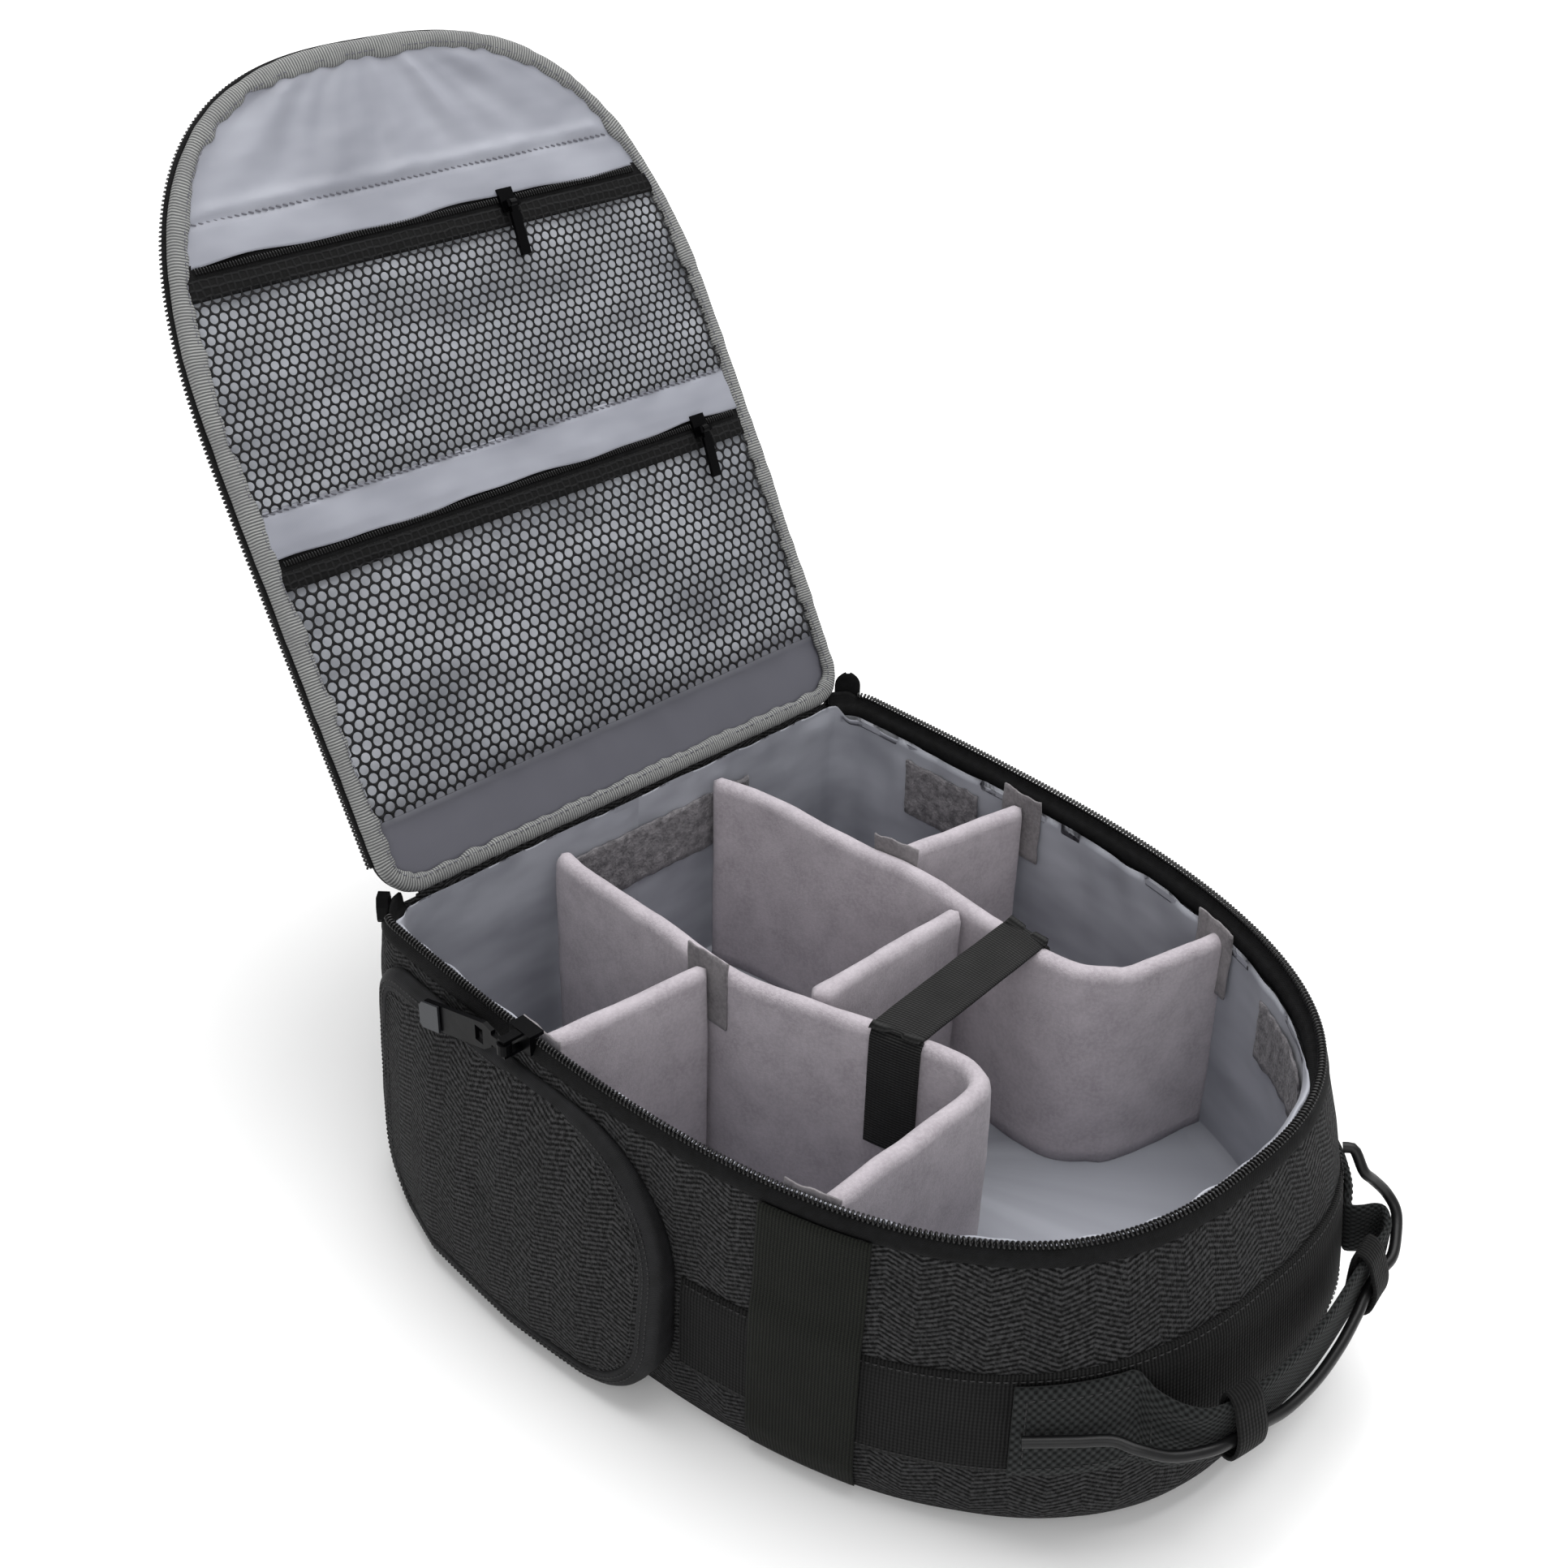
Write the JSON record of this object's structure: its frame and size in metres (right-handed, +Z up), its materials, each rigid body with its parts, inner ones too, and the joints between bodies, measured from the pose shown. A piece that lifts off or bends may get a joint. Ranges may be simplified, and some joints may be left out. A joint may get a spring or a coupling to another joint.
{
  "type": "camera backpack",
  "caption": "Padded camera backpack lying on its harness side, lid zipped open and standing, with divided compartments, net pockets in the lid and a haul handle.",
  "frame": {"origin": "middle of the bounding box in plan, at the level of the floor it lies on", "axes": "+Y from the haul handle to the lid hinge, +X across, to the right when seen from the handle end, +Z up, out of the open body"},
  "size_m": [0.3238, 0.566, 0.434],
  "materials": {
    "herringbone": "rough",
    "tape": "matte",
    "plastic": "gloss",
    "coil": "semi-gloss",
    "satin": "satin",
    "binding": "matte",
    "brushed": "brushed",
    "felt": "felt",
    "webbing": "matte",
    "elastic": "matte",
    "net": "matte",
    "rubber": "matte",
    "steel": "satin"
  },
  "bodies": {
    "bag": {"side_wall": "herringbone", "back_panel": "herringbone", "inner_lining": "satin", "rim_zip_tape": "tape", "rim_zip_teeth": "coil", "webbing_band": "webbing", "side_elastic": "elastic", "shoulder_strap_left": "herringbone", "shoulder_strap_right": "herringbone", "side_pocket_gusset": "tape", "side_pocket": "herringbone", "handle_strap": "webbing", "handle_cord": "rubber", "handle_keeper_near": "webbing", "handle_keeper_far": "webbing", "lid_panel": "herringbone", "lid_lining": "satin", "lid_binding": "binding", "lid_zip_tape": "tape", "lid_zip_teeth": "coil", "upper_flap": "satin", "lower_flap": "satin", "upper_net": "net", "lower_net": "net", "upper_net_head": "net", "upper_zip_tape": "tape", "upper_zip_teeth": "coil", "upper_slider": "plastic", "lower_net_head": "net", "lower_zip_tape": "tape", "lower_zip_teeth": "coil", "lower_slider": "plastic", "hinge_strip": "herringbone", "main_slider": "plastic", "corner_slider": "plastic", "corner_tape": "tape", "hook_tab_wing_left": "webbing", "hook_tab_wing_right": "webbing", "long_divider_left": "brushed", "long_divider_right": "brushed", "hook_tab_left_inner": "webbing", "hook_tab_left_wall": "webbing", "cross_divider_left": "brushed", "hook_tab_right_inner": "webbing", "hook_tab_right_wall": "webbing", "cross_divider_right": "brushed", "cross_divider_middle": "brushed", "felt_hinge_end": "felt", "felt_arch_end": "felt", "felt_right": "felt", "divider_strap": "webbing"},
    "zip_puller": {"main_puller": "plastic", "main_puller_end": "steel"},
    "upper_pull_bar": {"upper_puller": "plastic"},
    "lower_pull_bar": {"lower_puller": "plastic"}
  },
  "joints": [
    {"name": "main_puller_swing", "type": "hinge", "parent": "bag", "child": "zip_puller", "pos_m": [-0.14565, -0.00453, 0.1315], "axis": [0, 0, 1], "range_deg": [0, 150]},
    {"name": "upper_puller_swing", "type": "hinge", "parent": "bag", "child": "upper_pull_bar", "pos_m": [0.05092, 0.22928, 0.36545], "axis": [-1, 0, 0], "range_deg": [0, 150]},
    {"name": "lower_puller_swing", "type": "hinge", "parent": "bag", "child": "lower_pull_bar", "pos_m": [0.11192, 0.16817, 0.26044], "axis": [-1, 0, 0], "range_deg": [0, 150]}
  ]
}
